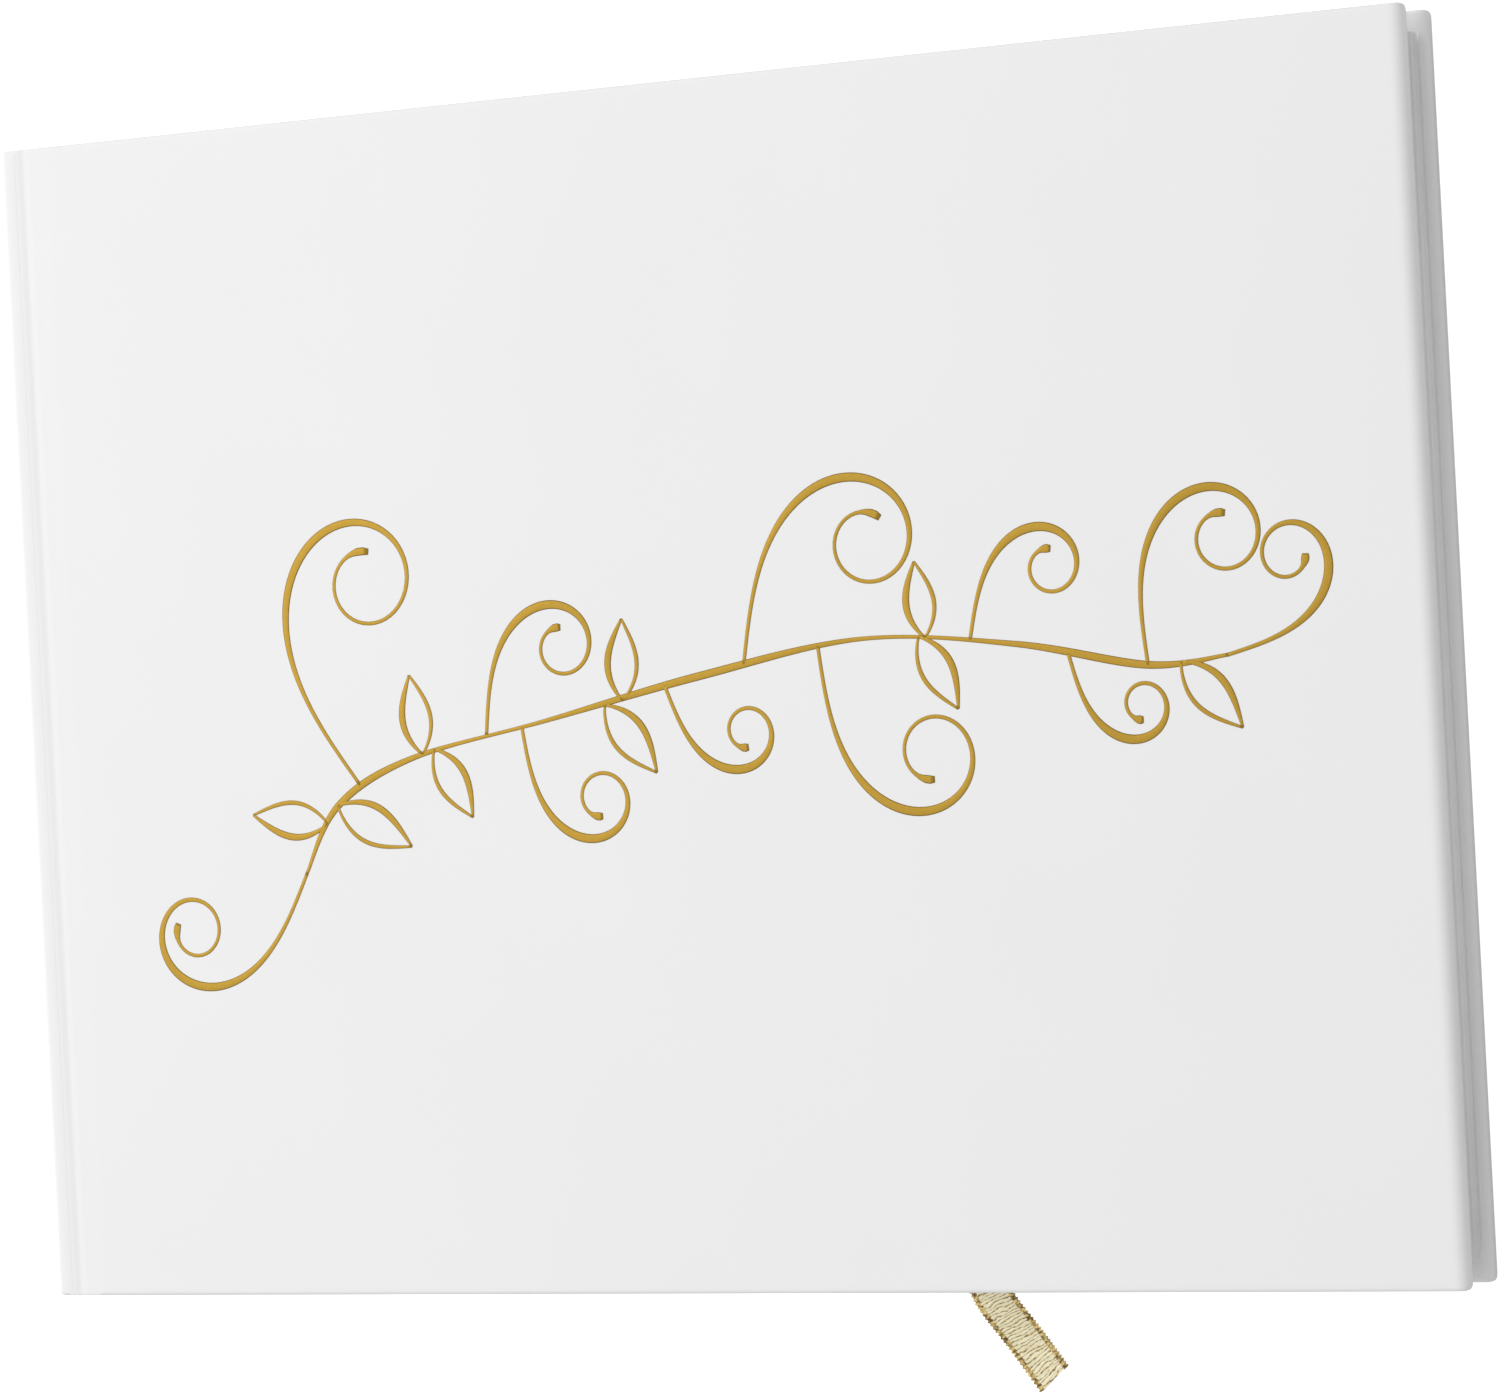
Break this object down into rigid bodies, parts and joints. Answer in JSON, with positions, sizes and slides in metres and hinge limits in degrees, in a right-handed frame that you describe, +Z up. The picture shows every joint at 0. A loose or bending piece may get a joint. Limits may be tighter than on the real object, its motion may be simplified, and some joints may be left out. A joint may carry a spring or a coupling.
{
  "type": "wedding guest book",
  "caption": "Square-backed hardcover guest book in white with a gold foil flourish on the front, sewn leaves that open and a gold ribbon marker.",
  "frame": {"origin": "under the middle of the closed case, on the surface it lies on", "axes": "+X from the spine to the fore-edge, +Y from tail to head, +Z up through the front cover"},
  "size_m": [0.2286, 0.1939, 0.0141],
  "materials": {
    "cover_wrap": "matte",
    "greyboard": "matte",
    "endpaper": "matte",
    "leaf_paper": "matte",
    "mull_gauze": "matte",
    "kraft_lining": "matte",
    "band_cloth": "matte",
    "linen_thread": "matte",
    "ribbon_weave": "satin",
    "gold_foil": "satin"
  },
  "bodies": {
    "spine": {"spine_board": "greyboard", "spine_wrap": "cover_wrap", "front_joint_wrap": "cover_wrap", "back_joint_wrap": "cover_wrap", "mull": "mull_gauze", "spine_lining": "kraft_lining", "head_band": "band_cloth", "tail_band": "band_cloth", "sewing_thread": "linen_thread", "ribbon": "ribbon_weave", "section_1_fold": "leaf_paper", "section_2_fold": "leaf_paper", "section_3_fold": "leaf_paper", "section_4_fold": "leaf_paper", "section_5": "leaf_paper", "section_6": "leaf_paper", "section_7": "leaf_paper", "section_8": "leaf_paper", "front_flyleaf_hinge": "endpaper", "back_flyleaf": "endpaper"},
    "front_cover": {"front_board": "greyboard", "front_wrap": "cover_wrap", "front_pastedown": "endpaper"},
    "back_cover": {"back_board": "greyboard", "back_wrap": "cover_wrap", "back_pastedown": "endpaper"},
    "front_flyleaf": {"front_flyleaf": "endpaper"},
    "section_1": {"section_1": "leaf_paper"},
    "section_2": {"section_2": "leaf_paper"},
    "section_3": {"section_3": "leaf_paper"},
    "section_4": {"section_4": "leaf_paper"}
  },
  "joints": [
    {"name": "front_cover_hinge", "type": "hinge", "parent": "spine", "child": "front_cover", "pos_m": [-0.10885, 0, 0.01423], "axis": [0, -1, 0], "range_deg": [0, 180]},
    {"name": "back_cover_hinge", "type": "hinge", "parent": "spine", "child": "back_cover", "pos_m": [-0.10885, 0, -0.00015], "axis": [0, 1, 0], "range_deg": [0, 180]},
    {"name": "front_flyleaf_turn", "type": "hinge", "parent": "spine", "child": "front_flyleaf", "pos_m": [-0.10885, 0, 0.01423], "axis": [0, -1, 0], "range_deg": [0, 177.3]},
    {"name": "section_1_turn", "type": "hinge", "parent": "spine", "child": "section_1", "pos_m": [-0.10885, 0, 0.01423], "axis": [0, -1, 0], "range_deg": [0, 175.5]},
    {"name": "section_2_turn", "type": "hinge", "parent": "spine", "child": "section_2", "pos_m": [-0.10885, 0, 0.01423], "axis": [0, -1, 0], "range_deg": [0, 173.7]},
    {"name": "section_3_turn", "type": "hinge", "parent": "spine", "child": "section_3", "pos_m": [-0.10885, 0, 0.01423], "axis": [0, -1, 0], "range_deg": [0, 171.9]},
    {"name": "section_4_turn", "type": "hinge", "parent": "spine", "child": "section_4", "pos_m": [-0.10885, 0, 0.01423], "axis": [0, -1, 0], "range_deg": [0, 170.1]}
  ],
  "couplings": [
    {"joint": "front_flyleaf_turn", "follows": "front_cover_hinge", "ratio": 0.985},
    {"joint": "section_1_turn", "follows": "front_cover_hinge", "ratio": 0.975},
    {"joint": "section_2_turn", "follows": "front_cover_hinge", "ratio": 0.965},
    {"joint": "section_3_turn", "follows": "front_cover_hinge", "ratio": 0.955},
    {"joint": "section_4_turn", "follows": "front_cover_hinge", "ratio": 0.945}
  ]
}
